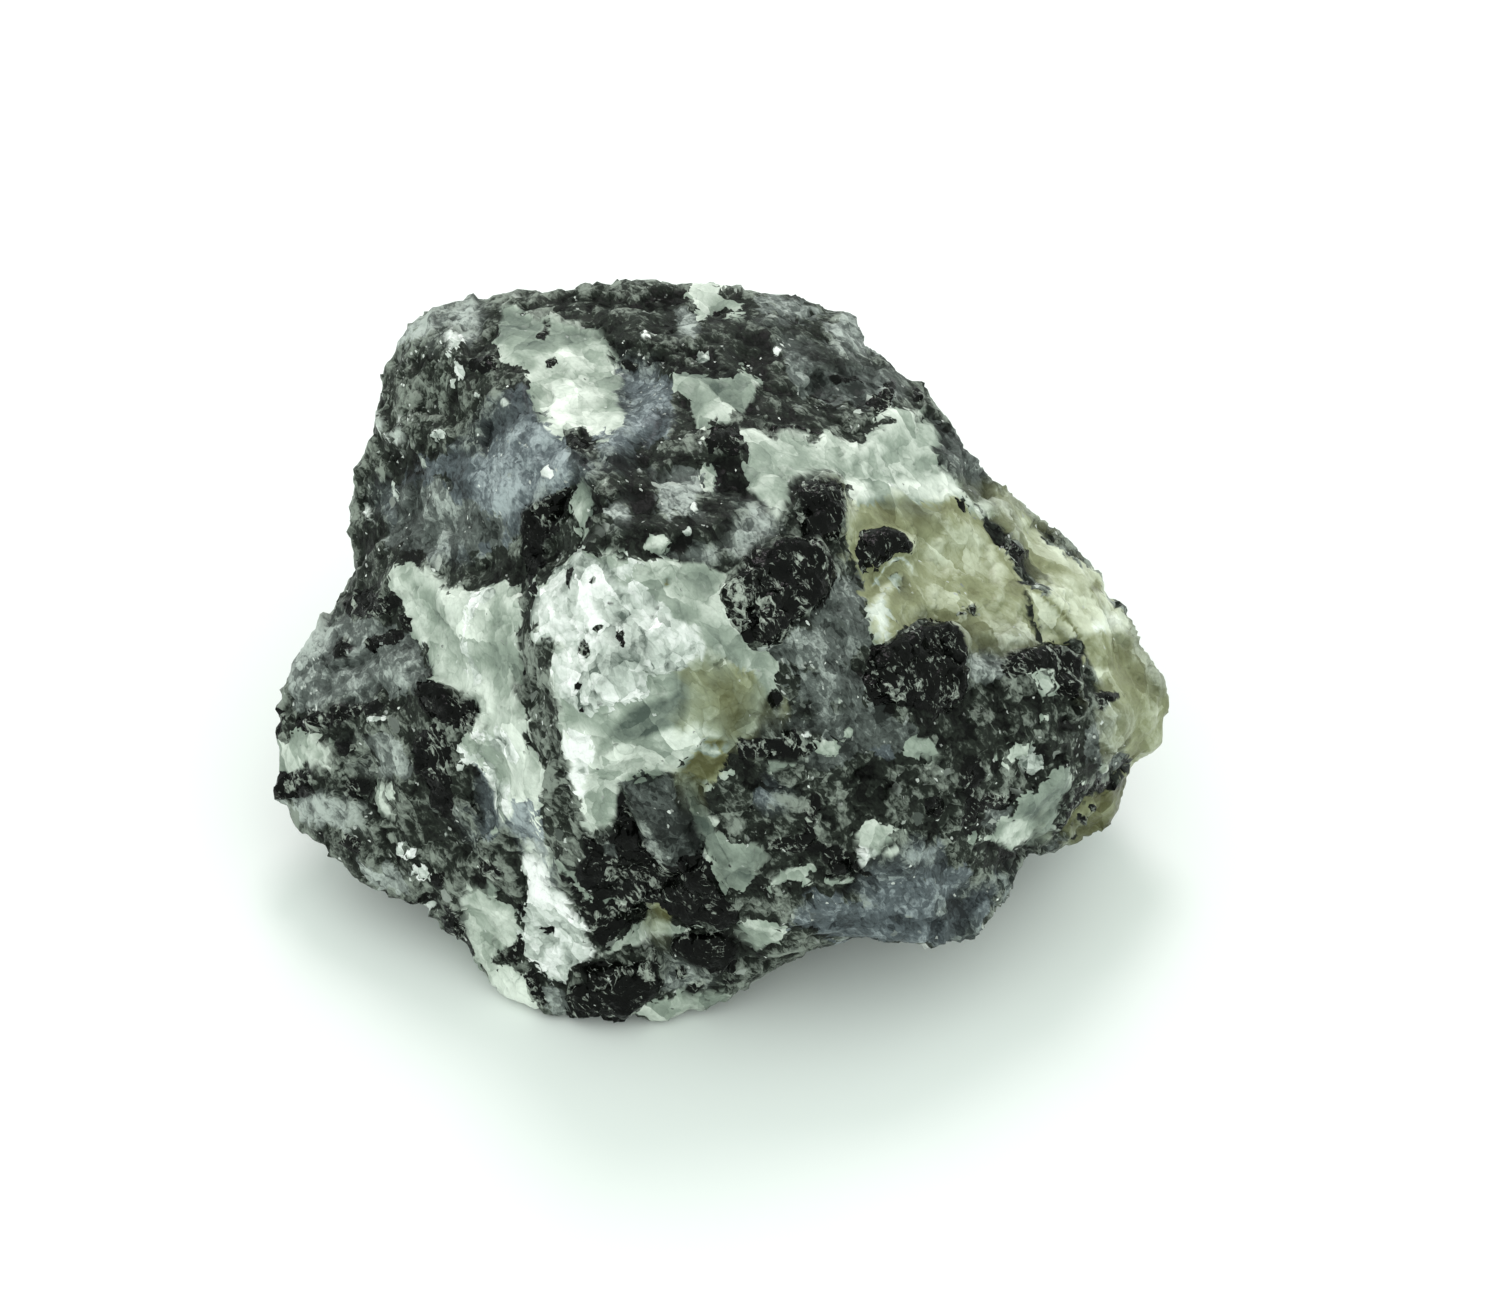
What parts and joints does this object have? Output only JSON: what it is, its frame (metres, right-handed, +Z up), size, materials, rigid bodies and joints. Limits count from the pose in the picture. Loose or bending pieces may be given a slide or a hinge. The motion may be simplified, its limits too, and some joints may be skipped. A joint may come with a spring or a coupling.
{
  "type": "rough rock",
  "caption": "Rough broken hand specimen of coarse rock, with black crystals standing out of pale quartz and grey feldspar, lying on a flat base.",
  "frame": {"origin": "on the resting surface, under the middle of the rock's box", "axes": "+Z up from the flat base, +X to the right as the rock is usually viewed, -Y towards the viewer"},
  "size_m": [0.0896, 0.0692, 0.0501],
  "materials": {
    "stone": "freshly broken, glassy in places"
  },
  "bodies": {
    "root": {"rock": "stone"}
  },
  "joints": []
}
